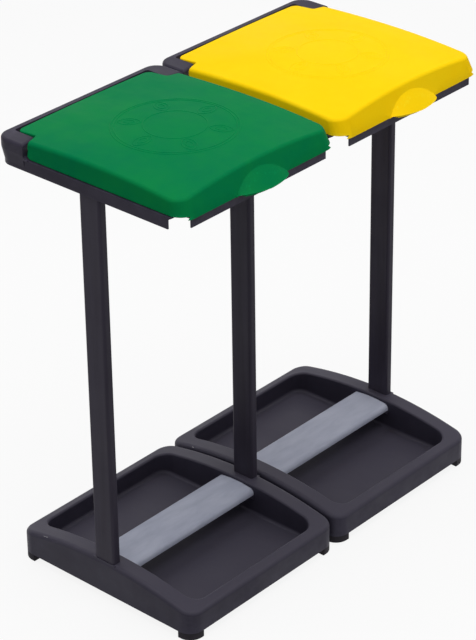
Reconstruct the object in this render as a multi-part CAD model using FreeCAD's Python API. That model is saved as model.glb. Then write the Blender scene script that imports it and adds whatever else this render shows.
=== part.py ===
import FreeCAD, Part
import math
import os

# Double sack holder. Two modules stand side by side along X: each is a shallow tray on the floor, a bag
# frame at the top and a hinged lid. Three flat posts carry the frames, and the middle one is shared.
# +X runs from the left module to the right one, -Y is the front with the finger lips, +Z is up, and the
# origin is on the floor below the middle of the whole stand. All sizes are in millimetres.

V = FreeCAD.Vector

# ---------------------------------------------------------------- driving dimensions
pitch = 420.0                # from one module's middle to the next
seam = 6.0                   # slot between the two trays, and between the two frame skirts
wall = 2.6                   # moulded wall of trays and frames

tray_depth = 448.0
tray_corner = 30.0           # plan radius of the tray's outer corners
foot_height = 16.0
rim_height = 60.0            # rim at the front and back, above the floor
rim_rise = 28.0              # how far the side rims arch up to the posts
rim_round = 9.0              # rounding of the rim's outer edge
side_rim = 37.0              # width of the side rims
end_rim = 24.0               # width of the front and back rims
recess_corner = 28.0
recess_round = 7.0           # radius where the recess floor meets its walls
recess_edge = 4.0            # rounding of the recess's top edge
recess_floor = 24.0          # top of the recess floor, above the floor
floor_rib = 2.0              # thickness of the ribs under the recess floor
floor_rib_count = 3          # ribs each way

foot_size = 34.0             # plan size of a corner foot
foot_chamfer = 2.5
foot_plug = 10.0             # how far a foot's plug reaches up into the tray

bar_width = 90.0             # cross bar, front to back
bar_top = 82.0               # crest of the cross bar, above the floor
bar_crown = 2.5              # rise of its top from the shoulders to the crest
bar_shoulder = 10.0          # radius of its shoulders
bar_depth = 15.5             # from its crest to the lower edge of its flanges
bar_wall = 3.0
bar_rib_count = 2
ledge_reach = 9.0            # shelf on the recess wall that the bar's end rests on

post_width = 50.0            # along Y
post_thick = 19.0            # along X
post_round = 5.5
post_wall = 2.0
post_middle_y = -2.0         # the posts stand a little in front of the middle
tray_seat = 52.0             # level of the seat that a post stands on
screw_spread = 24.0          # between the two screws of a post's end

skirt_height = 23.0          # from the frame's lower edge up to its flange, where the lid closes
frame_front = -220.0
frame_back = 226.0           # back of the hinge blocks and of the bar between them
skirt_back = 221.0
frame_corner = 30.0          # plan radius of the skirt's corners
collar_drop = 14.0           # depth of the inner collar that the bag hangs over
mouth_half = 172.5           # half the width of the bag mouth
mouth_front = -183.0
mouth_back = 212.0
mouth_corner = 26.0
mouth_back_corner = 6.0
block_height = 28.0          # from the flange to the top of the hinge blocks and the back bar
block_flare = 2.5            # how far the hinge blocks stand out beyond the skirt
block_flare_drop = 16.0      # they flare out from this far below the flange
block_flare_rise = 8.0       # to this far above it
block_corner = 30.0
block_front_outer = 154.0    # front face of a hinge block, at its outer side
block_front_inner = 161.0    # and at the bag mouth
block_round = 6.0
block_sweep = 12.0           # concave radius between a block's front face and the flange
block_sweep_half = 193.0     # the sweep runs outwards from here, beside the lid's side wall
notch_side = 27.0            # the skirt is cut away at the front corners, this far back along the side
notch_front = 30.0           # and this far in along the front
notch_flare = 11.0           # how far the cut narrows towards the flange
frame_seat_drop = 8.0        # a post's head lies this far below the flange
frame_seat_thick = 4.0

lid_wall = 2.6
lid_crest = 922.0            # crest of the crowned lid, in the middle: the whole stand's height
lid_height = 48.0            # from the frame's flange up to the crest
lid_crest_y = -25.0
lid_crest_drop = 11.0        # fall from the crest to the lid's sides
lid_front_bow = 1900.0       # radius of the crown from its crest to the front
lid_back_bow = 1467.0        # radius from the crest to the back, where the flap lies lower
lid_side_front_bow = 1800.0  # radius of the crown along the sides, in front of the crest
lid_side_back_bow = 2700.0   # and behind it
lid_station_count = 9        # arched sections that the crown is lofted through
lid_low_half = 204.0         # half width along the lower edge
lid_top_half = 197.5         # and along the top crease
lid_crease_drop = 12.0       # the lid's walls have drawn in to the crease this far below the crest
lid_front_low = -226.0
lid_front_top = -209.0
lid_corner = 30.0
lid_edge_round = 9.0         # rounding of the crease at the sides and front
lid_flap_round = 2.5         # and round the flap
lid_heel_round = 12.0        # rounding of the side walls' lower back corners
lid_shoulder_round = 5.0     # plan radius where the shoulders meet the flap
lid_shoulder_outer = 151.5   # back edge of the wide part, at its outer side
lid_shoulder_inner = 158.5   # and where the flap begins
lid_flap_half = 170.0
lid_flap_back = 208.0
lid_flap_corner = 14.0
lid_flap_rise = 19.0         # lower edge of the flap's walls, above the frame's flange
lid_side_gap = 1.5           # between the lid's side walls and the flange
lid_apron = 4.0              # how far the front wall laps down over the frame's front
lid_rib = 2.0
lid_rib_depth = 5.0
lid_rib_half = 70.0          # the ribs under the lid lie this far from its middle
lid_rib_sag = 4.0            # extra depth that lets the ribs follow the crown

lip_half = 72.0              # finger lip, a quarter of an ellipsoid: half its full width
lip_reach = 21.0             # how far it stands out from the lid's lower edge
lip_sink = 14.0              # the ellipsoid's middle lies this far behind that edge
lip_height = 35.0
lip_drop = 6.0               # its lower edge lies this far below the frame's flange

hinge_y = 182.0
hinge_rise = 15.0            # hinge axis above the frame's flange
pin_radius = 2.5
pin_length = 32.0
pin_grip = 15.0              # how much of a pin is held in the hinge block
lug_radius = 7.0
lug_thick = 11.0

screw_radius = 2.0
screw_length = 22.0
screw_head_radius = 3.8
screw_head_height = 2.4
stud_radius = 3.0
stud_head_radius = 6.5
stud_head_height = 2.4
stud_spread = 220.0          # between the two studs of a joint, front to back
tray_stud_z = 36.0
frame_stud_drop = 13.0       # studs between the frames, below the flange

# ---------------------------------------------------------------- fits
socket_gap = 0.3             # post in its sockets
bar_gap = 0.5                # cross bar to the recess walls
plug_gap = 0.3               # foot plug in the tray
running_fit = 0.08           # lid lug on its pin
grip_fit = 0.02              # pin in the hinge block
screw_fit = 0.05             # screw in the post's screw channel
screw_clearance = 0.3        # screw through a seat
stud_fit = 0.1               # stud through the walls it joins

# ---------------------------------------------------------------- places worked out from the sizes
tray_width = pitch - seam
tray_half = tray_width / 2
frame_flange = lid_crest - lid_height               # the frame's flange, where the lid closes
frame_bottom = frame_flange - skirt_height
block_top = frame_flange + block_height
lid_crease = lid_crest - lid_crease_drop
lid_flap_low = frame_flange + lid_flap_rise
lid_low = frame_flange - lid_apron                  # lower edge of the lid's front wall
lip_low = frame_flange - lip_drop
hinge_z = frame_flange + hinge_rise
frame_stud_z = frame_flange - frame_stud_drop
rim_crest = rim_height + rim_rise
recess_half = tray_half - side_rim
recess_half_depth = tray_depth / 2 - end_rim
bar_low = bar_top - bar_depth
post_outer = tray_half - wall - socket_gap          # outer face of a post, from its module's middle
post_x = post_outer - post_thick / 2
socket_inner = post_outer - post_thick - socket_gap
frame_seat = frame_flange - frame_seat_drop         # level of a post's head
module_left = -pitch / 2
module_right = pitch / 2
to_middle_y = -(lid_front_low - lip_reach + frame_back) / 2   # puts the middle of the depth at Y = 0
margin = 50.0                                       # reach of cutting tools beyond what they cut
above = lid_crest + margin                          # a level above everything, for cutting tools


# ---------------------------------------------------------------- shapes
def box(x0, x1, y0, y1, z0, z1):
    """Box between two corners."""
    return Part.makeBox(x1 - x0, y1 - y0, z1 - z0, V(x0, y0, z0))


def cylinder_x(radius, x0, x1, y, z):
    """Round bar along X."""
    return Part.makeCylinder(radius, x1 - x0, V(x0, y, z), V(1, 0, 0))


def outline(corners, z):
    """Closed plan outline through corners (x, y, radius), each corner rounded by its radius or sharp."""
    edges = []
    tangents = []
    count = len(corners)
    for i in range(count):
        here = V(corners[i][0], corners[i][1], z)
        before = V(corners[i - 1][0], corners[i - 1][1], z)
        after = V(corners[(i + 1) % count][0], corners[(i + 1) % count][1], z)
        back = (before - here).normalize()
        on = (after - here).normalize()
        if corners[i][2] == 0:
            tangents.append((here, None, here))
            continue
        half_turn = math.acos(max(-1.0, min(1.0, back.dot(on)))) / 2
        reach = corners[i][2] / math.tan(half_turn)
        middle = (back + on).normalize()
        centre = here + middle * (corners[i][2] / math.sin(half_turn))
        nearest = centre - middle * corners[i][2]
        tangents.append((here + back * reach, nearest, here + on * reach))
    for i in range(count):
        start, nearest, end = tangents[i]
        if nearest is not None:
            edges.append(Part.Arc(start, nearest, end).toShape())
        edges.append(Part.makeLine(end, tangents[(i + 1) % count][0]))
    return Part.Wire(edges)


def rectangle(half, front, back, front_radius, back_radius, z):
    """Rounded rectangle outline, symmetric about X = 0."""
    return outline([(-half, front, front_radius), (half, front, front_radius),
                    (half, back, back_radius), (-half, back, back_radius)], z)


def prism(wire, z1):
    """Straight block from a plan outline up to level z1."""
    return Part.Face(wire).extrude(V(0, 0, z1 - wire.BoundBox.ZMin))


def profile_x(points, x0, x1):
    """Block along X from a closed list of (y, z) corners."""
    wire = Part.makePolygon([V(x0, y, z) for y, z in points + points[:1]])
    return Part.Face(wire).extrude(V(x1 - x0, 0, 0))


def profile_y(points, y0, y1):
    """Block along Y from a closed list of (x, z) corners."""
    wire = Part.makePolygon([V(x, y0, z) for x, z in points + points[:1]])
    return Part.Face(wire).extrude(V(0, y1 - y0, 0))


def joined(shapes):
    """One solid from several that meet."""
    whole = shapes[0].fuse(shapes[1:])
    return whole.removeSplitter()


def group(shapes):
    """Several separate solids as one node."""
    return Part.makeCompound(shapes)


def mirrored(shape):
    """The shape and its mirror image across the module's middle plane."""
    return [shape, shape.mirror(V(0, 0, 0), V(1, 0, 0))]


def edges_at(shape, test):
    """Edges whose sampled points all pass a test."""
    chosen = []
    for edge in shape.Edges:
        first, last = edge.ParameterRange
        samples = [edge.valueAt(first + (last - first) * k / 4.0) for k in range(5)]
        if all(test(point) for point in samples):
            chosen.append(edge)
    return chosen


# ---------------------------------------------------------------- tray
def rim_level(y, drop):
    """Level of the arched rim at y, lowered by drop."""
    half = tray_depth / 2
    radius = (half * half + rim_rise * rim_rise) / (2 * rim_rise)
    return rim_crest - drop - radius + math.sqrt(radius * radius - y * y)


def under_arch(drop):
    """Everything below the arch that the rim follows."""
    half = tray_depth / 2
    low = V(-tray_half - margin, -half, -margin)
    left = V(low.x, -half, rim_level(half, drop))
    top = V(low.x, 0, rim_level(0, drop))
    right = V(low.x, half, rim_level(half, drop))
    low_back = V(low.x, half, -margin)
    wire = Part.Wire([Part.makeLine(low, left), Part.Arc(left, top, right).toShape(),
                      Part.makeLine(right, low_back), Part.makeLine(low_back, low)])
    return Part.Face(wire).extrude(V(tray_width + 2 * margin, 0, 0))


def tray_outline(inset, z):
    """Plan outline of the tray, drawn in by inset."""
    half_depth = tray_depth / 2 - inset
    radius = tray_corner - inset
    return rectangle(tray_half - inset, -half_depth, half_depth, radius, radius, z)


def recess_outline(grow, z):
    """Plan outline of the recess, grown by grow."""
    half_depth = recess_half_depth + grow
    radius = recess_corner + grow
    return rectangle(recess_half + grow, -half_depth, half_depth, radius, radius, z)


def bar_ledge():
    """Sloping shelf on the left recess wall, under one end of the cross bar."""
    half = bar_width / 2 + bar_gap
    wall_x = -recess_half - wall / 2
    reach_x = -recess_half + ledge_reach
    rise = ledge_reach + wall / 2
    points = [(wall_x, bar_low), (reach_x, bar_low), (reach_x, bar_low - wall), (wall_x, bar_low - wall - rise)]
    return profile_y(points, -half, half)


def tray_socket():
    """Block round the left post's foot, with a seat below it."""
    reach = post_width / 2 + socket_gap + wall
    return box(-tray_half + wall / 2, -socket_inner + wall, post_middle_y - reach, post_middle_y + reach,
               tray_seat - wall, rim_crest - wall / 2)


def post_pocket(z0, z1):
    """Room for the left post between two levels."""
    grow = socket_gap
    wire = rectangle(post_thick / 2 + grow, -post_width / 2 - grow, post_width / 2 + grow,
                     post_round + grow, post_round + grow, z0)
    pocket = prism(wire, z1)
    pocket.translate(V(-post_x, post_middle_y, 0))
    return pocket


def post_screws(radius, z0, z1):
    """Round bars at the places of the left post's two screws."""
    places = [post_middle_y - screw_spread / 2, post_middle_y + screw_spread / 2]
    return [Part.makeCylinder(radius, z1 - z0, V(-post_x, y, z0)) for y in places]


def stud_bores(radius, x0, x1, z):
    """Round bars along X at the places of the two studs that join neighbours."""
    return [cylinder_x(radius, x0, x1, y, z) for y in (-stud_spread / 2, stud_spread / 2)]


def make_tray(left_socket, joint_side):
    """Tray about X = 0. It has a post socket at its right side, and at its left one if asked for.
    joint_side is -1 or 1, the side on which the other tray is joined."""
    form = prism(tray_outline(0, foot_height), above).common(under_arch(0))
    rim = edges_at(form, lambda p: p.z > rim_height - 1)
    form = form.makeFillet(rim_round, rim)

    recess = prism(recess_outline(0, recess_floor), above)
    recess = recess.makeFillet(recess_round, edges_at(recess, lambda p: p.z < recess_floor + 0.01))
    form = form.cut(recess)
    near = recess_half + 1
    form = form.makeFillet(recess_edge, edges_at(form, lambda p: p.z > rim_height - 1 and abs(p.x) < near
                                                 and abs(p.y) < recess_half_depth + 1))

    tub = prism(recess_outline(wall, recess_floor - wall), above)
    hollow = prism(tray_outline(wall, foot_height - 1), above).common(under_arch(wall)).cut(tub)
    tray = form.cut(hollow)

    additions = mirrored(bar_ledge())
    sockets = [tray_socket()]
    rib_low = foot_height + 1
    rib_top = recess_floor - wall / 2
    for i in range(floor_rib_count):
        share = (i + 1) / (floor_rib_count + 1.0) - 0.5
        x = share * 2 * recess_half
        y = share * 2 * recess_half_depth
        additions.append(box(x - floor_rib / 2, x + floor_rib / 2, -recess_half_depth, recess_half_depth,
                             rib_low, rib_top))
        additions.append(box(-recess_half, recess_half, y - floor_rib / 2, y + floor_rib / 2,
                             rib_low, rib_top))

    pockets = [post_pocket(tray_seat, above)] + post_screws(screw_radius + screw_clearance, 0, tray_seat + 1)
    flip = [shape.mirror(V(0, 0, 0), V(1, 0, 0)) for shape in sockets + pockets]
    right_sockets = flip[:len(sockets)]
    right_pockets = flip[len(sockets):]
    cuts = list(right_pockets)
    blocks = list(right_sockets)
    if left_socket:
        cuts = cuts + pockets
        blocks = blocks + sockets
    side = sorted([joint_side * (tray_half - 2 * wall), joint_side * (tray_half + wall)])
    cuts = cuts + stud_bores(stud_radius + stud_fit, side[0], side[1], tray_stud_z)

    tray = tray.fuse(blocks).cut(cuts)
    return tray.fuse(additions).removeSplitter()


def make_feet():
    """Four corner feet, flush with the tray's corners, each with a plug that goes up inside the wall."""
    half_x = tray_half
    half_y = tray_depth / 2
    sole = prism(tray_outline(0, 0), foot_height)
    sole = sole.makeChamfer(foot_chamfer, edges_at(sole, lambda p: p.z < 0.01))
    inner = prism(tray_outline(wall + plug_gap, foot_height - 1), foot_height + foot_plug)
    plug_x = side_rim - wall - 2 * plug_gap
    plug_y = end_rim - wall - 2 * plug_gap
    feet = []
    for sx in (-1, 1):
        for sy in (-1, 1):
            xs = sorted([sx * (half_x - foot_size), sx * (half_x + 1)])
            ys = sorted([sy * (half_y - foot_size), sy * (half_y + 1)])
            block = sole.common(box(xs[0], xs[1], ys[0], ys[1], 0, foot_height))
            xs = sorted([sx * (half_x - plug_x), sx * (half_x + 1)])
            ys = sorted([sy * (half_y - plug_y), sy * (half_y + 1)])
            plug = inner.common(box(xs[0], xs[1], ys[0], ys[1], 0, foot_height + foot_plug))
            feet.append(joined([block, plug]))
    return feet


# ---------------------------------------------------------------- cross bar
def bar_section(inset, x):
    """Arched section of the cross bar, drawn in by inset, closed along its open lower side."""
    half = bar_width / 2 - inset
    crest = bar_top - inset
    shoulder = crest - bar_crown
    radius = bar_shoulder - inset
    lean = radius * (1 - math.sqrt(0.5))
    low = bar_low if inset == 0 else bar_low - 1
    points = [V(x, -half, low), V(x, -half, shoulder - radius), V(x, -half + lean, shoulder - lean),
              V(x, -half + radius, shoulder), V(x, 0, crest), V(x, half - radius, shoulder),
              V(x, half - lean, shoulder - lean), V(x, half, shoulder - radius), V(x, half, low)]
    wire = Part.Wire([Part.makeLine(points[0], points[1]),
                      Part.Arc(points[1], points[2], points[3]).toShape(),
                      Part.Arc(points[3], points[4], points[5]).toShape(),
                      Part.Arc(points[5], points[6], points[7]).toShape(),
                      Part.makeLine(points[7], points[8]), Part.makeLine(points[8], points[0])])
    return Part.Face(wire)


def make_bar():
    """Arched channel that lies across the recess, level with the crests of the side rims."""
    half = recess_half - bar_gap
    shell = bar_section(0, -half).extrude(V(2 * half, 0, 0))
    room = bar_section(bar_wall, -half - 1).extrude(V(2 * half + 2, 0, 0))
    ribs = []
    for i in range(bar_rib_count):
        x = ((i + 1) / (bar_rib_count + 1.0) - 0.5) * 2 * half
        ribs.append(bar_section(bar_wall / 2, x - bar_wall / 2).extrude(V(bar_wall, 0, 0)))
    low = box(-half - margin, half + margin, -bar_width, bar_width, 0, bar_low)
    return shell.cut(room).fuse(ribs).cut(low).removeSplitter()


# ---------------------------------------------------------------- post
def make_post():
    """Extruded hollow post with two screw channels inside, about X = 0 and Y = 0."""
    half_t = post_thick / 2
    half_w = post_width / 2
    post = prism(rectangle(half_t, -half_w, half_w, post_round, post_round, tray_seat), frame_seat)
    inner_round = post_round - post_wall
    room = prism(rectangle(half_t - post_wall, -half_w + post_wall, half_w - post_wall,
                           inner_round, inner_round, tray_seat), frame_seat)
    post = post.cut(room)
    channel = screw_radius + screw_fit + post_wall
    webs = []
    bores = []
    for y in (-screw_spread / 2, screw_spread / 2):
        webs.append(Part.makeCylinder(channel, frame_seat - tray_seat, V(0, y, tray_seat)))
        webs.append(box(-half_t + post_wall / 2, half_t - post_wall / 2, y - post_wall / 2, y + post_wall / 2,
                        tray_seat, frame_seat))
        bores.append(Part.makeCylinder(screw_radius + screw_fit, frame_seat - tray_seat, V(0, y, tray_seat)))
    return post.fuse(webs).cut(bores).removeSplitter()


# ---------------------------------------------------------------- bag frame
def frame_outline(inset, z):
    """Plan outline of the frame's skirt, drawn in by inset."""
    radius = frame_corner - inset
    return rectangle(tray_half - inset, frame_front + inset, skirt_back - inset, radius, radius, z)


def block_outline(z):
    """Plan outline of the upper part of the hinge blocks and back bar."""
    return rectangle(tray_half + block_flare, frame_front, frame_back, frame_corner, block_corner, z)


def mouth_outline(grow, z):
    """Plan outline of the bag mouth, grown by grow."""
    return rectangle(mouth_half + grow, mouth_front - grow, mouth_back + grow, mouth_corner + grow,
                     mouth_back_corner + grow, z)


def behind_lid():
    """Everything behind the oblique front faces of the hinge blocks."""
    far = tray_half + margin
    slope = (block_front_inner - block_front_outer) / (tray_half - mouth_half)
    outer_y = block_front_outer - slope * margin
    wire = Part.makePolygon([V(-far, outer_y, 0), V(-mouth_half, block_front_inner, 0),
                             V(mouth_half, block_front_inner, 0), V(far, outer_y, 0),
                             V(far, frame_back + margin, 0), V(-far, frame_back + margin, 0),
                             V(-far, outer_y, 0)])
    return prism(wire, above)


def block_sweep_form():
    """Concave sweep from the flange up to the left hinge block's front face, beside the lid's side wall."""
    y = block_front_outer + block_flare
    low = frame_flange - wall
    floor_z = frame_flange
    start = V(-tray_half - margin, y - block_sweep, floor_z)
    middle = V(start.x, y - block_sweep * (1 - math.sqrt(0.5)), floor_z + block_sweep * (1 - math.sqrt(0.5)))
    end = V(start.x, y, floor_z + block_sweep)
    back = V(start.x, y + block_sweep, floor_z + block_sweep)
    back_low = V(start.x, y + block_sweep, low)
    front_low = V(start.x, y - block_sweep, low)
    wire = Part.Wire([Part.Arc(start, middle, end).toShape(), Part.makeLine(end, back),
                      Part.makeLine(back, back_low), Part.makeLine(back_low, front_low),
                      Part.makeLine(front_low, start)])
    return Part.Face(wire).extrude(V(tray_half + margin - block_sweep_half, 0, 0))


def corner_notch():
    """Cut that frees the skirt's left front corner below the flange."""
    far_x = -tray_half - margin
    far_y = frame_front - margin
    side_y = frame_front + notch_side
    front_x = -tray_half + notch_front
    top = frame_flange + 1
    low = frame_bottom - margin
    mid = frame_flange - notch_flare / 2
    along_side = profile_x([(far_y, low), (side_y, low), (side_y, mid), (side_y - notch_flare, top),
                            (far_y, top)], far_x, -mouth_half - wall)
    along_front = profile_y([(far_x, low), (front_x, low), (front_x, mid), (front_x - notch_flare, top),
                             (far_x, top)], far_y, mouth_front - wall)
    return along_side.common(along_front)


def frame_socket():
    """Block round the left post's head."""
    reach = post_width / 2 + socket_gap + wall
    return box(-tray_half + wall / 2, -socket_inner + wall, post_middle_y - reach, post_middle_y + reach,
               frame_bottom, frame_flange - wall / 2)


def hinge_boss():
    """Boss inside the left hinge block, round its pin."""
    return cylinder_x(lug_radius, -mouth_half - wall - pin_grip, -mouth_half - wall / 2, hinge_y, hinge_z)


def hinge_bore():
    """Blind bore for the left pin."""
    return cylinder_x(pin_radius + grip_fit, -mouth_half - pin_grip - grip_fit, -mouth_half + 1,
                      hinge_y, hinge_z)


def make_frame(left_socket, joint_side):
    """Bag frame about X = 0, with its post sockets on the same sides as the tray below."""
    band = prism(frame_outline(0, frame_bottom), frame_flange)
    flare_low = frame_flange - block_flare_drop
    flare_high = frame_flange + block_flare_rise
    flare = Part.makeLoft([frame_outline(0, flare_low), block_outline(flare_high)], True, True)
    upper = flare.fuse(prism(block_outline(flare_high), block_top))
    sweeps = [upper.common(sweep) for sweep in mirrored(block_sweep_form())]
    upper = upper.common(behind_lid())
    rounded = edges_at(upper, lambda p: p.z > block_top - 0.01)
    upper = upper.makeFillet(block_round, rounded)
    form = band.fuse([upper] + sweeps)

    low_room = prism(frame_outline(wall, frame_bottom - 1), frame_flange - wall)
    high_room = prism(frame_outline(wall, frame_bottom - 1), block_top - wall)
    shift = behind_lid()
    shift.translate(V(0, wall, 0))
    collar = prism(mouth_outline(wall, frame_bottom - 1), above)
    room = low_room.fuse(high_room.common(shift)).cut(collar)

    mouth = prism(mouth_outline(0, frame_bottom - margin), above)
    collar_trim = prism(mouth_outline(wall, frame_bottom - margin), frame_flange - collar_drop)
    heads = box(-post_x - screw_head_radius - 1, -post_x + screw_head_radius + 1,
                post_middle_y - screw_spread / 2 - screw_head_radius - 1,
                post_middle_y + screw_spread / 2 + screw_head_radius + 1,
                frame_seat + frame_seat_thick, above)
    heads = heads.common(box(-tray_half, tray_half, frame_front, frame_back, 0, frame_flange + 1))
    pockets = [post_pocket(frame_bottom - margin, frame_seat), heads]
    pockets = pockets + post_screws(screw_radius + screw_clearance, frame_seat - 1, frame_flange)
    sockets = [frame_socket()]
    right_sockets = [shape.mirror(V(0, 0, 0), V(1, 0, 0)) for shape in sockets]
    right_pockets = [shape.mirror(V(0, 0, 0), V(1, 0, 0)) for shape in pockets]

    frame = form.cut(room)
    frame = frame.fuse(right_sockets + mirrored(hinge_boss()))
    cuts = [mouth, collar_trim] + right_pockets + mirrored(corner_notch()) + mirrored(hinge_bore())
    if left_socket:
        frame = frame.fuse(sockets)
        cuts = cuts + pockets
    side = sorted([joint_side * (tray_half - 2 * wall), joint_side * (tray_half + wall)])
    cuts = cuts + stud_bores(stud_radius + stud_fit, side[0], side[1], frame_stud_z)
    return frame.cut(cuts).removeSplitter()


# ---------------------------------------------------------------- lid
def lid_outline(inset, share, z):
    """Plan outline of the lid, drawn in by inset. share goes from 0 at the lower edge to 1 at the crease."""
    half = lid_low_half + (lid_top_half - lid_low_half) * share - inset
    front = lid_front_low + (lid_front_top - lid_front_low) * share + inset
    flap = lid_flap_half - inset
    back = lid_flap_back - inset
    corner = lid_corner - inset
    flap_corner = lid_flap_corner - inset
    concave = lid_shoulder_round + inset
    outer_y = lid_shoulder_outer - inset
    inner_y = lid_shoulder_inner - inset
    return outline([(-half, front, corner), (half, front, corner), (half, outer_y, 0),
                    (flap, inner_y, concave), (flap, back, flap_corner), (-flap, back, flap_corner),
                    (-flap, inner_y, concave), (-half, outer_y, 0)], z)


def under_crown(drop):
    """Everything below the lid's crown, lowered by drop: a loft through arched sections."""
    sections = []
    half = lid_low_half + margin
    first = lid_front_low - lip_reach / 2
    last = lid_flap_back + lip_reach / 2
    for i in range(lid_station_count):
        y = first + (last - first) * i / (lid_station_count - 1.0)
        away = y - lid_crest_y
        bow = lid_front_bow if away < 0 else lid_back_bow
        side_bow = lid_side_front_bow if away < 0 else lid_side_back_bow
        middle = lid_crest - drop - away * away / (2 * bow)
        side = lid_crest - lid_crest_drop - drop - away * away / (2 * side_bow)
        edge = middle - (middle - side) * (half / lid_top_half) ** 2
        arc = Part.Arc(V(-half, y, edge), V(0, y, middle), V(half, y, edge)).toShape()
        right = Part.makeLine(V(half, y, edge), V(half, y, frame_bottom))
        base = Part.makeLine(V(half, y, frame_bottom), V(-half, y, frame_bottom))
        left = Part.makeLine(V(-half, y, frame_bottom), V(-half, y, edge))
        sections.append(Part.Wire([arc, right, base, left]))
    return Part.makeLoft(sections, True, False)


def lid_form(inset, low):
    """Solid form of the lid, drawn in by inset, from level low up to the crowned top."""
    slope = 1.0 / (lid_crease - lid_low)
    share_low = (low - lid_low) * slope
    top = lid_crest + 1
    share_top = (top - lid_low) * slope
    walls = Part.makeLoft([lid_outline(inset, share_low, low), lid_outline(inset, share_top, top)],
                          True, True)
    return walls.common(under_crown(inset))


def lip_form(inset):
    """Finger lip, drawn in by inset: the front upper part of an ellipsoid that sits in the lid's front."""
    ball = Part.makeSphere(1.0)
    ball.rotate(V(0, 0, 0), V(0, 0, 1), 90)
    spread = FreeCAD.Matrix()
    spread.scale(V(lip_half - inset, lip_reach + lip_sink - inset, lip_height - inset))
    ball = ball.transformGeometry(spread)
    ball.translate(V(0, lid_front_low + lip_sink, lip_low))
    low = lip_low if inset == 0 else lip_low - 1
    keep = box(-lip_half, lip_half, lid_front_low - lip_reach, lid_front_low + lip_sink + wall, low, lid_crest)
    return ball.common(keep)


def lid_lug():
    """Lug under the left end of the flap, round its pin."""
    x0 = -lid_flap_half + lid_wall / 2
    x1 = -lid_flap_half + lug_thick
    round_end = cylinder_x(lug_radius, x0, x1, hinge_y, hinge_z)
    neck = box(x0, x1, hinge_y - lug_radius, hinge_y + lug_radius, hinge_z, lid_crest)
    return round_end.fuse(neck)


def lid_heel():
    """Cut that rounds the lower back corner of the left side wall."""
    low = frame_flange + lid_side_gap
    y = lid_shoulder_outer
    radius = lid_heel_round
    block = box(-lid_low_half - margin, -lid_flap_half - 2 * lid_wall, y - radius, y + margin, low - margin,
                low + radius)
    return block.cut(cylinder_x(radius, -lid_low_half - 2 * margin, 0, y - radius, low + radius))


def make_lid():
    """Crowned lid about X = 0: a shell with side walls, a front apron, a plain back flap and a finger lip."""
    shell = lid_form(0, lid_low)
    behind = lid_shoulder_outer + 1
    shell = shell.makeFillet(lid_edge_round, edges_at(shell, lambda p: p.z > lid_flap_low and p.y < behind))
    flap_edges = edges_at(shell, lambda p: p.z > lid_flap_low and p.y > lid_shoulder_outer - 1
                          and abs(p.x) < lid_top_half - lid_edge_round + 2)
    shell = shell.makeFillet(lid_flap_round, flap_edges)

    room = lid_form(lid_wall, lid_low - 1)
    ribs = []
    inner_crown = lid_form(lid_wall / 2, lid_low)
    rib_low = lid_crest - lid_wall - lid_rib_depth - lid_rib_sag
    for offset in (-lid_rib_half, 0, lid_rib_half):
        ribs.append(box(offset - lid_rib / 2, offset + lid_rib / 2, -2 * lid_rib_half, 2 * lid_rib_half,
                        rib_low, lid_crest).common(inner_crown))
        ribs.append(box(-2 * lid_rib_half, 2 * lid_rib_half, offset - lid_rib / 2, offset + lid_rib / 2,
                        rib_low, lid_crest).common(inner_crown))
    lugs = [lug.common(inner_crown) for lug in mirrored(lid_lug())]

    lid = shell.fuse(lip_form(0)).cut(room).cut(lip_form(lid_wall))
    lid = lid.fuse(ribs + lugs)

    side_trim = box(-tray_half - margin, tray_half + margin, frame_front - wall, lid_flap_back + margin,
                    lid_low - margin, frame_flange + lid_side_gap)
    flap_trim = box(-tray_half - margin, tray_half + margin, lid_shoulder_outer - lid_wall,
                    lid_flap_back + margin, lid_low - margin, lid_flap_low)
    keep_lugs = box(-lid_flap_half - margin, lid_flap_half + margin, hinge_y - 2 * lug_radius,
                    hinge_y + 2 * lug_radius, hinge_z - lug_radius - 1, lid_flap_low)
    flap_trim = flap_trim.cut(keep_lugs)
    bores = mirrored(cylinder_x(pin_radius + running_fit, -lid_flap_half - margin,
                                -lid_flap_half + lug_thick + 1, hinge_y, hinge_z))
    lid = lid.cut([side_trim, flap_trim]).cut(bores)
    return lid.cut(mirrored(lid_heel())).removeSplitter()


# ---------------------------------------------------------------- pins, screws and studs
def make_pins():
    """Two hinge pins, each held in a hinge block and passing through a lid lug."""
    start = -mouth_half - pin_grip
    return mirrored(cylinder_x(pin_radius, start, start + pin_length, hinge_y, hinge_z))


def make_screws(seat, upward):
    """The left post's two screws at one end, with their heads against a seat level."""
    screws = []
    sense = 1 if upward else -1
    for y in (post_middle_y - screw_spread / 2, post_middle_y + screw_spread / 2):
        base = V(-post_x, y, seat)
        head = Part.makeCylinder(screw_head_radius, screw_head_height, base, V(0, 0, -sense))
        shank = Part.makeCylinder(screw_radius, screw_length, base, V(0, 0, sense))
        screws.append(joined([head, shank]))
    return screws


def make_studs(z):
    """Two double-headed studs that hold neighbouring side walls at the seam's width."""
    inner = seam / 2 + wall
    studs = []
    for y in (-stud_spread / 2, stud_spread / 2):
        shank = cylinder_x(stud_radius, -inner, inner, y, z)
        collar = cylinder_x(stud_head_radius, -seam / 2, seam / 2, y, z)
        heads = [cylinder_x(stud_head_radius, x, x + stud_head_height, y, z)
                 for x in (-inner - stud_head_height, inner)]
        studs.append(joined([shank, collar] + heads))
    return studs


# ---------------------------------------------------------------- assembly
def at_module(shapes, x):
    """Copies of shapes moved to a module's middle."""
    moved = []
    for shape in shapes:
        copy = shape.copy()
        copy.translate(V(x, to_middle_y, 0))
        moved.append(copy)
    return moved


def right_side(shapes):
    """The shapes mirrored to the module's right side."""
    return [shape.mirror(V(0, 0, 0), V(1, 0, 0)) for shape in shapes]


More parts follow.
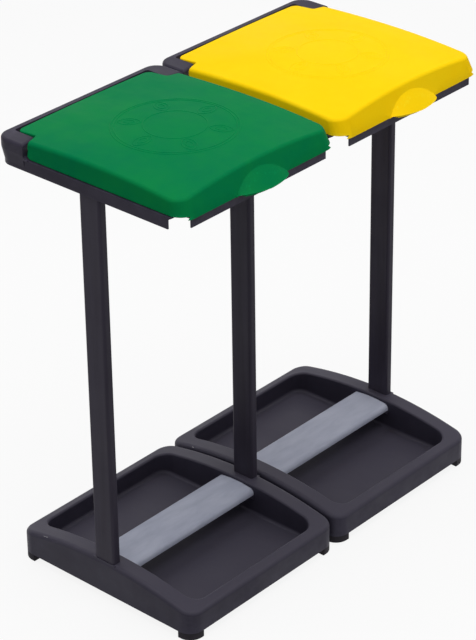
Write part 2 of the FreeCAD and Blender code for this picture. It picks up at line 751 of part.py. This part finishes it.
bar = make_bar()
feet = make_feet()
lid = make_lid()
pins = make_pins()
post = make_post()
low_screws = make_screws(tray_seat - wall, True)
top_screws = make_screws(frame_seat + frame_seat_thick, False)
post_places = {"left_post": module_left - post_x, "middle_post": module_left + post_x,
               "right_post": module_right + post_x}

nodes = {
    "left_tray": at_module([make_tray(True, 1)], module_left),
    "right_tray": at_module([make_tray(False, -1)], module_right),
    "left_tray_feet": at_module(feet, module_left),
    "right_tray_feet": at_module(feet, module_right),
    "left_cross_bar": at_module([bar], module_left),
    "right_cross_bar": at_module([bar], module_right),
    "left_bag_frame": at_module([make_frame(True, 1)], module_left),
    "right_bag_frame": at_module([make_frame(False, -1)], module_right),
    "left_lid": at_module([lid], module_left),
    "right_lid": at_module([lid], module_right),
    "left_hinge_pins": at_module(pins, module_left),
    "right_hinge_pins": at_module(pins, module_right),
    "left_tray_screws": at_module(low_screws + right_side(low_screws), module_left),
    "right_tray_screws": at_module(right_side(low_screws), module_right),
    "left_frame_screws": at_module(top_screws + right_side(top_screws), module_left),
    "right_frame_screws": at_module(right_side(top_screws), module_right),
    "tray_link_studs": at_module(make_studs(tray_stud_z), 0),
    "frame_link_studs": at_module(make_studs(frame_stud_z), 0),
}
post.translate(V(0, post_middle_y, 0))
for name, x in post_places.items():
    nodes[name] = at_module([post], x)

os.makedirs("parts", exist_ok=True)
for name, shapes in nodes.items():
    node = shapes[0] if len(shapes) == 1 else group(shapes)
    node.exportStep("parts/" + name + ".step")
    print(name, "solids", len(node.Solids), "valid", node.isValid(), "volume", round(node.Volume / 1000.0, 2))
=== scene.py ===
import math

import bmesh
import bpy
from mathutils import Matrix, Vector
from mathutils.bvhtree import BVHTree


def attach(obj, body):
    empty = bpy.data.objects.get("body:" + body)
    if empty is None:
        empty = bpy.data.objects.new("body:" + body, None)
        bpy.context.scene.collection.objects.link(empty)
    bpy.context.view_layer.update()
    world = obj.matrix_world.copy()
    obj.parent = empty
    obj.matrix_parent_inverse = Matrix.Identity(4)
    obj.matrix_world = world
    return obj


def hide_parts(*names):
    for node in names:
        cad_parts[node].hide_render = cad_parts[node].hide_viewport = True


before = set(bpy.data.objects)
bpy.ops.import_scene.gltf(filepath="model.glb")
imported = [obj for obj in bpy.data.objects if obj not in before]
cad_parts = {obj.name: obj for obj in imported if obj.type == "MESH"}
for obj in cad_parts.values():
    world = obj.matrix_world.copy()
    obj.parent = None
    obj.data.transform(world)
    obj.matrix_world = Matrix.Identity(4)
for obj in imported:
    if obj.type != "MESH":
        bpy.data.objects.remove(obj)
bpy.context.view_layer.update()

# ---------------------------------------------------------------- sizes shared with the solids
# All lengths in this file are in metres.
MIDDLE_Y = 0.0105                           # the trays' middle plane
MODULES = {"left": -0.21, "right": 0.21}    # x of each module's middle


def srgb(r, g, b):
    """Linear colour from 0-255 display values."""
    out = []
    for v in (r, g, b):
        v = v / 255.0
        out.append(v / 12.92 if v <= 0.04045 else ((v + 0.055) / 1.055) ** 2.4)
    return (*out, 1.0)


# ---------------------------------------------------------------- materials
class Nodes:
    """Small helper that adds and links shader nodes."""

    def __init__(self, name):
        self.mat = bpy.data.materials.new(name)
        self.mat.use_nodes = True
        self.tree = self.mat.node_tree
        self.bsdf = self.tree.nodes["Principled BSDF"]
        self.coords = self.tree.nodes.new("ShaderNodeTexCoord").outputs["Object"]

    def add(self, kind, **values):
        node = self.tree.nodes.new(kind)
        for key, value in values.items():
            setattr(node, key, value)
        return node

    def link(self, a, b):
        self.tree.links.new(a, b)

    def noise(self, scale, detail, rough, stretch=(1, 1, 1)):
        mapping = self.add("ShaderNodeMapping")
        mapping.inputs["Scale"].default_value = stretch
        self.link(self.coords, mapping.inputs["Vector"])
        node = self.add("ShaderNodeTexNoise")
        node.inputs["Scale"].default_value = scale
        node.inputs["Detail"].default_value = detail
        node.inputs["Roughness"].default_value = rough
        self.link(mapping.outputs["Vector"], node.inputs["Vector"])
        return node.outputs["Fac"]

    def ramp(self, value, span, a, b):
        """Value mapped from the span (low, high) to colours or numbers a..b."""
        node = self.add("ShaderNodeMapRange")
        node.inputs["From Min"].default_value, node.inputs["From Max"].default_value = span
        self.link(value, node.inputs["Value"])
        if isinstance(a, (int, float)):
            node.inputs["To Min"].default_value = a
            node.inputs["To Max"].default_value = b
            return node.outputs["Result"]
        return self.mix(node.outputs["Result"], a, b)

    def mix(self, factor, a, b):
        node = self.add("ShaderNodeMix", data_type="RGBA")
        self.link(factor, node.inputs["Factor"])
        for key, value in (("A", a), ("B", b)):
            if isinstance(value, tuple):
                node.inputs[key].default_value = value
            else:
                self.link(value, node.inputs[key])
        return node.outputs["Result"]

    def math(self, operation, a, b):
        node = self.add("ShaderNodeMath", operation=operation)
        for key, value in ((0, a), (1, b)):
            if isinstance(value, (int, float)):
                node.inputs[key].default_value = value
            else:
                self.link(value, node.inputs[key])
        return node.outputs[0]

    def bump(self, heights):
        """Chain of bumps from (value, strength, distance in metres)."""
        normal = None
        for value, strength, distance in heights:
            node = self.add("ShaderNodeBump")
            node.inputs["Strength"].default_value = strength
            node.inputs["Distance"].default_value = distance
            self.link(value, node.inputs["Height"])
            if normal is not None:
                self.link(normal, node.inputs["Normal"])
            normal = node.outputs["Normal"]
        self.link(normal, self.bsdf.inputs["Normal"])


# Noises as (scale, detail, roughness).
SLOW_TONE, CLOUDS, SMEARS = (7.0, 3.0, 0.55), (45.0, 4.0, 0.6), (16.0, 4.0, 0.6)
FINE_GRAIN, RIPPLES, BRUSHING = (1900.0, 2.0, 0.6), (11.0, 2.0, 0.5), (900.0, 3.0, 0.7)
SMEAR_STRETCH, BRUSH_STRETCH = (1.0, 0.35, 1.0), (0.05, 1, 1)
SLOW_SHARE, CLOUD_SHARE = 0.7, 0.3          # of a plastic's tone
# Spans of a noise, normal or pointiness over which a look changes.
TONE_SPAN, NOISE_SPAN, WIDE_SPAN = (0.36, 0.64), (0.35, 0.65), (0.3, 0.7)
# The first span below sets how far faces must look upwards to take the painted top light.
PAINTED_TOP_LIGHT_SPAN, EDGE_SPAN = (0.1, 0.95), (0.52, 0.60)
WORN_MOST, WORN_LEAST_CLOUD = 0.6, 0.3      # worn edges, and how far the clouds break them up
RIPPLE_BUMP = (0.10, 0.0012)                # strength and distance
GRAIN_STRENGTH = 0.35
BRUSH_BUMP = (0.25, 0.00003)
BRUSH_ROUGHENS = 0.18


def plastic(name, low, high, rough, grain, specular=0.45, edge=None, stretch=(1, 1, 1), painted_top_light=None):
    """Moulded plastic: fine spark-eroded grain, slow tone changes, uneven gloss and slightly worn
    edges. The last argument, if given, is painted light: a lighter tone on faces that look
    upwards."""
    n = Nodes(name)
    slow = n.noise(*SLOW_TONE, stretch)
    cloud = n.noise(*CLOUDS, stretch)
    tone = n.math("ADD", n.math("MULTIPLY", slow, SLOW_SHARE),
                  n.math("MULTIPLY", cloud, CLOUD_SHARE))
    colour = n.ramp(tone, TONE_SPAN, low, high)
    # Painted light: faces that look upwards are mixed towards a lighter tone.
    if painted_top_light is not None:
        geometry = n.add("ShaderNodeNewGeometry")
        split = n.add("ShaderNodeSeparateXYZ")
        n.link(geometry.outputs["True Normal"], split.inputs[0])
        colour = n.mix(n.ramp(split.outputs["Z"], PAINTED_TOP_LIGHT_SPAN, 0.0, 1.0), colour, painted_top_light)
    if edge is not None:
        geometry = n.add("ShaderNodeNewGeometry")
        worn = n.ramp(geometry.outputs["Pointiness"], EDGE_SPAN, 0.0, WORN_MOST)
        broken = n.math("MULTIPLY", worn, n.ramp(cloud, NOISE_SPAN, WORN_LEAST_CLOUD, 1.0))
        colour = n.mix(broken, colour, edge)
    n.link(colour, n.bsdf.inputs["Base Color"])
    smear = n.noise(*SMEARS, SMEAR_STRETCH)
    n.link(n.ramp(smear, NOISE_SPAN, *rough), n.bsdf.inputs["Roughness"])
    n.bsdf.inputs["Specular IOR Level"].default_value = specular
    fine = n.noise(*FINE_GRAIN)
    ripple = n.noise(*RIPPLES, stretch)
    n.bump([(ripple, *RIPPLE_BUMP), (fine, GRAIN_STRENGTH, grain)])
    return n.mat


def steel(name, low, high, rough):
    """Drawn or plated steel, finely brushed along x."""
    n = Nodes(name)
    brushed = n.noise(*BRUSHING, BRUSH_STRETCH)
    n.link(n.ramp(brushed, WIDE_SPAN, low, high), n.bsdf.inputs["Base Color"])
    n.link(n.ramp(brushed, WIDE_SPAN, rough, rough + BRUSH_ROUGHENS),
           n.bsdf.inputs["Roughness"])
    n.bsdf.inputs["Metallic"].default_value = 1.0
    n.bump([(brushed, *BRUSH_BUMP)])
    return n.mat


charcoal = plastic("charcoal_moulded", srgb(39, 35, 49), srgb(46, 42, 57), rough=(0.42, 0.56),
                   grain=0.00009, specular=0.15, edge=srgb(72, 68, 84))
# The tray's upward faces get a lighter tone as painted light, lifting the shade that the lids
# cast on them.
tray_plastic = plastic("charcoal_tray", srgb(50, 47, 60), srgb(57, 54, 68), rough=(0.42, 0.56),
                       grain=0.00009, specular=0.15, edge=srgb(76, 73, 88), painted_top_light=srgb(70, 67, 80))
post_plastic = plastic("charcoal_extruded", srgb(42, 38, 48), srgb(48, 44, 55), rough=(0.38, 0.5),
                       grain=0.00005, specular=0.12, edge=srgb(66, 62, 76), stretch=(1, 1, 0.06))
bar_plastic = plastic("pale_bar", srgb(158, 162, 182), srgb(168, 172, 192), rough=(0.38, 0.5),
                      grain=0.00006, specular=0.1, edge=srgb(190, 194, 210), stretch=(0.3, 1, 1))
green = plastic("green_moulded", srgb(0, 116, 70), srgb(8, 125, 66), rough=(0.44, 0.56),
                grain=0.00007, specular=0.02, edge=srgb(8, 144, 84))
yellow = plastic("yellow_moulded", srgb(255, 209, 4), srgb(255, 214, 12), rough=(0.44, 0.56),
                 grain=0.00007, specular=0.03, edge=srgb(255, 230, 50))
rubber = plastic("foot_rubber", srgb(38, 35, 41), srgb(46, 43, 50), rough=(0.7, 0.85),
                 grain=0.0002, specular=0.25)
stud_plastic = plastic("stud_moulded", srgb(30, 30, 33), srgb(38, 38, 42), rough=(0.35, 0.5),
                       grain=0.00004)
zinc = steel("zinc_screw", srgb(190, 192, 196), srgb(214, 214, 210), 0.28)
drawn = steel("drawn_pin", srgb(200, 202, 205), srgb(222, 222, 222), 0.2)

NODE_MATERIALS = {
    "left_tray": tray_plastic, "right_tray": tray_plastic,
    "left_tray_feet": rubber, "right_tray_feet": rubber,
    "left_cross_bar": bar_plastic, "right_cross_bar": bar_plastic,
    "left_post": post_plastic, "middle_post": post_plastic, "right_post": post_plastic,
    "left_bag_frame": charcoal, "right_bag_frame": charcoal,
    "left_lid": green, "right_lid": yellow,
    "left_hinge_pins": drawn, "right_hinge_pins": drawn,
    "left_tray_screws": zinc, "right_tray_screws": zinc,
    "left_frame_screws": zinc, "right_frame_screws": zinc,
    "tray_link_studs": stud_plastic, "frame_link_studs": stud_plastic,
}
for name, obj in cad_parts.items():
    for slot in obj.material_slots:
        slot.material = NODE_MATERIALS[name]


def mesh_piece(name, mesh, material):
    """Scene object made from a bmesh."""
    data = bpy.data.meshes.new(name)
    mesh.to_mesh(data)
    piece = bpy.data.objects.new(name, data)
    bpy.context.scene.collection.objects.link(piece)
    data.materials.append(material)
    return piece


# ---------------------------------------------------------------- lids with scooped finger lips
# The lid's sloping front face, as in the solid.
FACE_LOW_Y, FACE_LOW_Z, FACE_SLOPE = MIDDLE_Y - 0.226, 0.870, 0.425
# The solid's rounded lip: half width, depth and the y of its middle.
FULL_LIP_HALF, FULL_LIP_DEEP, FULL_LIP_Y = 0.072, 0.035, MIDDLE_Y - 0.212
LID_WALL = 0.0026
# The scooped lip that it is drawn in to.
LIP_HALF, LIP_REACH = 0.066, 0.020
LIP_LOW, LIP_TOP = 0.868, 0.899
LIP_RISE = 0.006                            # how much higher the lip's edge lies at its left end
ARCH_FULLNESS, REACH_FULLNESS, RISE_FULLNESS = 0.8, 0.6, 0.15   # powers that shape the curves
# How a mesh point is known to lie on the solid's lip.
FACE_GAP = 0.0004
LIP_TOLERANCE = 0.025                       # share of the lip's own size
# How the lid's mesh is refined and shaded.
RIM_HEIGHT = 0.0003                         # the lip is shaded smooth from here above its rim
LIP_GRAIN = 0.0022                          # mesh edges on the lip longer than this are split
LIP_SPLITS = 5
MERGE_DISTANCE = 1e-6
SHARP_ANGLE = math.radians(32)


def plain_face(z):
    """Y of the lid's sloping front face at a height."""
    return FACE_LOW_Y + (z - FACE_LOW_Z) * FACE_SLOPE


def scooped_place(x, z):
    """Y and Z of a point of the lid's front: from an arch on the face, the lip runs straight out
    to its bowed edge."""
    fullness = max(0.0, 1 - (x / LIP_HALF) ** 2)
    arch = LIP_LOW + (LIP_TOP - LIP_LOW) * fullness ** ARCH_FULLNESS
    if z >= arch or fullness == 0:
        return plain_face(z), z
    share = min(1.0, (arch - z) / (arch - LIP_LOW))
    z += LIP_RISE * share * max(0.0, -x / LIP_HALF) * fullness ** RISE_FULLNESS
    return plain_face(z) - LIP_REACH * fullness ** REACH_FULLNESS * share, z


def on_full_lip(place, inset):
    """Whether a point (x from the lid's middle, y, z) lies on the solid's rounded lip, drawn in
    by inset."""
    x, y, z = place
    if y > plain_face(z) + inset + FACE_GAP or abs(x) > FULL_LIP_HALF:
        return False
    deep = FULL_LIP_DEEP - inset
    reach = math.sqrt((x / (FULL_LIP_HALF - inset)) ** 2 + ((y - FULL_LIP_Y) / deep) ** 2
                      + ((z - LIP_LOW) / deep) ** 2)
    return abs(reach - 1) < LIP_TOLERANCE


def refine_lip(mesh, middle):
    """Split the long edges on the lip's outer and inner faces."""
    for _ in range(LIP_SPLITS):
        lip = {v for v in mesh.verts
               if on_full_lip(v.co - middle, 0) or on_full_lip(v.co - middle, LID_WALL)}
        coarse = [e for e in mesh.edges if e.verts[0] in lip and e.verts[1] in lip
                  and e.calc_length() > LIP_GRAIN]
        bmesh.ops.subdivide_edges(mesh, edges=coarse, cuts=1)
        bmesh.ops.triangulate(mesh, faces=[f for f in mesh.faces if len(f.verts) > 3])


def scooped_lid(side, node, body, material):
    """The lid with its rounded lip drawn in to the scooped form, and its lip meshed finely."""
    middle = Vector((MODULES[side], 0, 0))
    mesh = bmesh.new()
    mesh.from_mesh(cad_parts[node].data)
    bmesh.ops.remove_doubles(mesh, verts=mesh.verts, dist=MERGE_DISTANCE)
    refine_lip(mesh, middle)
    drawn_in = set()
    for vert in mesh.verts:
        place = vert.co - middle
        if on_full_lip(place, 0):
            vert.co.y, vert.co.z = scooped_place(place.x, place.z)
            if place.z > LIP_LOW + RIM_HEIGHT:
                drawn_in.add(vert)
        elif on_full_lip(place, LID_WALL):
            y, vert.co.z = scooped_place(place.x * LIP_HALF / (LIP_HALF - LID_WALL), place.z)
            vert.co.y = y + LID_WALL
    bmesh.ops.recalc_face_normals(mesh, faces=mesh.faces)
    for face in mesh.faces:
        face.smooth = True
    for edge in mesh.edges:
        if edge.calc_face_angle(0) > SHARP_ANGLE and drawn_in.isdisjoint(edge.verts):
            edge.smooth = False
    piece = mesh_piece(f"{side}_lid_shell", mesh, material)
    even = piece.modifiers.new("even_normals", "WEIGHTED_NORMAL")
    even.keep_sharp = True
    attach(piece, body)
    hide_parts(node)


scooped_lid("left", "left_lid", "lid_left", green)
scooped_lid("right", "right_lid", "lid_right", yellow)

# ---------------------------------------------------------------- raised ornament on the lids
ROSETTE_MIDDLE_Y = MIDDLE_Y - 0.02
PETALS = 6
PETAL_SIZES = (1.0, 0.5)                    # each petal has a smaller one inside
PETAL_INNER, PETAL_OUTER, PETAL_HALF = 0.062, 0.106, 0.013
ARC_STEPS = 16                              # on each side of a petal
RINGS = (0.058, 0.110, 0.116)               # radii
RING_STEPS = 96
BEAD_HALF, BEAD_RISE, BEAD_SINK = 0.0013, 0.0007, 0.0004
BEAD_SIDES = 6
ABOVE_ALL = 2.0                             # height from which the lid's crown is looked for


def petal(turn, size):
    """Pointed oval between two radii, from two arcs, as closed points (x, y)."""
    middle, reach = (PETAL_INNER + PETAL_OUTER) / 2, size * (PETAL_OUTER - PETAL_INNER) / 2
    half = size * PETAL_HALF
    bow = (reach ** 2 + half ** 2) / (2 * half)
    spread = math.asin(reach / bow)
    points = []
    for side in (1, -1):
        for i in range(ARC_STEPS):
            angle = spread * (2 * i / ARC_STEPS - 1)
            along = middle + side * bow * math.sin(angle)
            out = side * (bow * math.cos(angle) - bow + half)
            points.append((along * math.cos(turn) - out * math.sin(turn),
                           along * math.sin(turn) + out * math.cos(turn)))
    return points


def ring(radius):
    """Circle as closed points (x, y)."""
    turns = [2 * math.pi * i / RING_STEPS for i in range(RING_STEPS)]
    return [(radius * math.cos(turn), radius * math.sin(turn)) for turn in turns]


def bead(mesh, points, middle, height_at):
    """Closed low rib with a half-round section along points (x, y), seated on the lid."""
    rows = []
    for i, (x, y) in enumerate(points):
        before, after = points[i - 1], points[(i + 1) % len(points)]
        along = Vector((after[0] - before[0], after[1] - before[1])).normalized()
        row = []
        for k in range(BEAD_SIDES + 1):
            angle = math.pi * k / BEAD_SIDES
            px = middle[0] + x - along.y * BEAD_HALF * math.cos(angle)
            py = middle[1] + y + along.x * BEAD_HALF * math.cos(angle)
            z = height_at(px, py) - BEAD_SINK + (BEAD_RISE + BEAD_SINK) * math.sin(angle)
            row.append(mesh.verts.new((px, py, z)))
        rows.append(row)
    for i, row in enumerate(rows):
        after = rows[(i + 1) % len(rows)]
        for k in range(BEAD_SIDES):
            mesh.faces.new((row[k], row[k + 1], after[k + 1], after[k]))


def lid_relief(side, node, body, material):
    """Rosette of thin raised lines that follows the lid's crown."""
    solid = bmesh.new()
    solid.from_mesh(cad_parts[node].data)
    shape = BVHTree.FromBMesh(solid)

    def height_at(x, y):
        return shape.ray_cast(Vector((x, y, ABOVE_ALL)), Vector((0, 0, -1)))[0].z

    mesh = bmesh.new()
    middle = (MODULES[side], ROSETTE_MIDDLE_Y)
    for radius in RINGS:
        bead(mesh, ring(radius), middle, height_at)
    for i in range(PETALS):
        for size in PETAL_SIZES:
            bead(mesh, petal(2 * math.pi * i / PETALS, size), middle, height_at)
    bmesh.ops.recalc_face_normals(mesh, faces=mesh.faces)
    for face in mesh.faces:
        face.smooth = True
    piece = mesh_piece(f"{side}_lid_relief", mesh, material)
    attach(piece, body)


lid_relief("left", "left_lid", "lid_left", green)
lid_relief("right", "right_lid", "lid_right", yellow)

# ---------------------------------------------------------------- floor, light and camera
FLOOR_SIZE, FLOOR_DROP = 60, 0.0005         # the floor lies a hair below the feet
FLOOR_NOISE = (3.0, 2.0, 0.5)               # scale, detail, roughness
FLOOR_PALE = ((0.86, 0.86, 0.865, 1), (0.88, 0.88, 0.885, 1))
FLOOR_UNSEEN = (0.4, 0.4, 0.405, 1)         # its tone for the light it throws on the object
FLOOR_ROUGH, FLOOR_SPECULAR = 0.9, 0.1
FLOOR_GLOW = 0.88                           # share of plain white where the floor is seen
WORLD_LIGHT, WORLD_SEEN = 0.38, 1.0
KEY_SIZE, KEY_POWER = 2.2, 12               # metres and watts
TOP_SIZE, TOP_POWER = 4.5, 122


def seen(tree):
    """1 for camera, glossy and transmission rays."""
    path = tree.nodes.new("ShaderNodeLightPath")
    total = path.outputs["Is Camera Ray"]
    for other in ("Is Glossy Ray", "Is Transmission Ray"):
        node = tree.nodes.new("ShaderNodeMath")
        node.operation = "MAXIMUM"
        tree.links.new(total, node.inputs[0])
        tree.links.new(path.outputs[other], node.inputs[1])
        total = node.outputs[0]
    return total


def floor_material():
    """Plain pale floor that keeps the object's soft shadow."""
    n = Nodes("floor_plain")
    shown = seen(n.tree)
    pale = n.ramp(n.noise(*FLOOR_NOISE), WIDE_SPAN, *FLOOR_PALE)
    n.link(n.mix(shown, FLOOR_UNSEEN, pale), n.bsdf.inputs["Base Color"])
    n.bsdf.inputs["Roughness"].default_value = FLOOR_ROUGH
    n.bsdf.inputs["Specular IOR Level"].default_value = FLOOR_SPECULAR
    glow = n.add("ShaderNodeEmission")
    blend = n.add("ShaderNodeMixShader")
    n.link(n.math("MULTIPLY", shown, FLOOR_GLOW), blend.inputs["Fac"])
    n.link(n.bsdf.outputs["BSDF"], blend.inputs[1])
    n.link(glow.outputs["Emission"], blend.inputs[2])
    n.link(blend.outputs["Shader"], n.tree.nodes["Material Output"].inputs["Surface"])
    return n.mat


bpy.ops.mesh.primitive_plane_add(size=FLOOR_SIZE, location=(0, 0, -FLOOR_DROP))
floor = bpy.context.object
floor.name = "floor"
floor.data.materials.append(floor_material())


def area_light(name, place, aim, size, power):
    """Square white lamp at a place, turned towards aim."""
    data = bpy.data.lights.new(name, "AREA")
    data.shape = "RECTANGLE"
    data.size = data.size_y = size
    data.energy = power
    obj = bpy.data.objects.new(name, data)
    bpy.context.scene.collection.objects.link(obj)
    obj.location = place
    obj.rotation_euler = (Vector(aim) - Vector(place)).to_track_quat("-Z", "Y").to_euler()


area_light("key", (1.0, -2.4, 3.4), (0, 0, 0.5), KEY_SIZE, KEY_POWER)
area_light("top", (-0.1, -0.1, 4.4), (0, 0, 0.6), TOP_SIZE, TOP_POWER)

world = bpy.data.worlds.new("studio")
bpy.context.scene.world = world
world.use_nodes = True
background = world.node_tree.nodes["Background"]
background.inputs["Color"].default_value = (1, 1, 1, 1)
strength = world.node_tree.nodes.new("ShaderNodeMapRange")
strength.inputs["To Min"].default_value = WORLD_LIGHT
strength.inputs["To Max"].default_value = WORLD_SEEN
world.node_tree.links.new(seen(world.node_tree), strength.inputs["Value"])
world.node_tree.links.new(strength.outputs["Result"], background.inputs["Strength"])

# The camera as fitted to the photograph: its place, its axes and its lens in mm.
CAMERA_PLACE = (-3.2685, -2.925 + MIDDLE_Y, 2.8924)
CAMERA_ACROSS = Vector((0.65956, -0.75156, -0.00865))
CAMERA_UP = Vector((0.36292, 0.30844, 0.87929))
CAMERA_BACK = Vector((-0.65824, -0.58313, 0.47614))
CAMERA_LENS, CAMERA_SENSOR = 147.61, 36.0
CAMERA_SHIFT_X, CAMERA_SHIFT_Y = -0.0332, -0.0652
CAMERA_REACH = 100

camera_data = bpy.data.cameras.new("camera")
camera_data.sensor_width = CAMERA_SENSOR
camera_data.lens = CAMERA_LENS
camera_data.shift_x = CAMERA_SHIFT_X
camera_data.shift_y = CAMERA_SHIFT_Y
camera_data.clip_end = CAMERA_REACH
camera = bpy.data.objects.new("camera", camera_data)
bpy.context.scene.collection.objects.link(camera)
axes = Matrix((CAMERA_ACROSS, CAMERA_UP, CAMERA_BACK)).transposed()
camera.rotation_mode = "QUATERNION"
camera.rotation_quaternion = axes.to_quaternion()
camera.location = CAMERA_PLACE
bpy.context.scene.camera = camera

bpy.context.scene.view_settings.view_transform = "Standard"
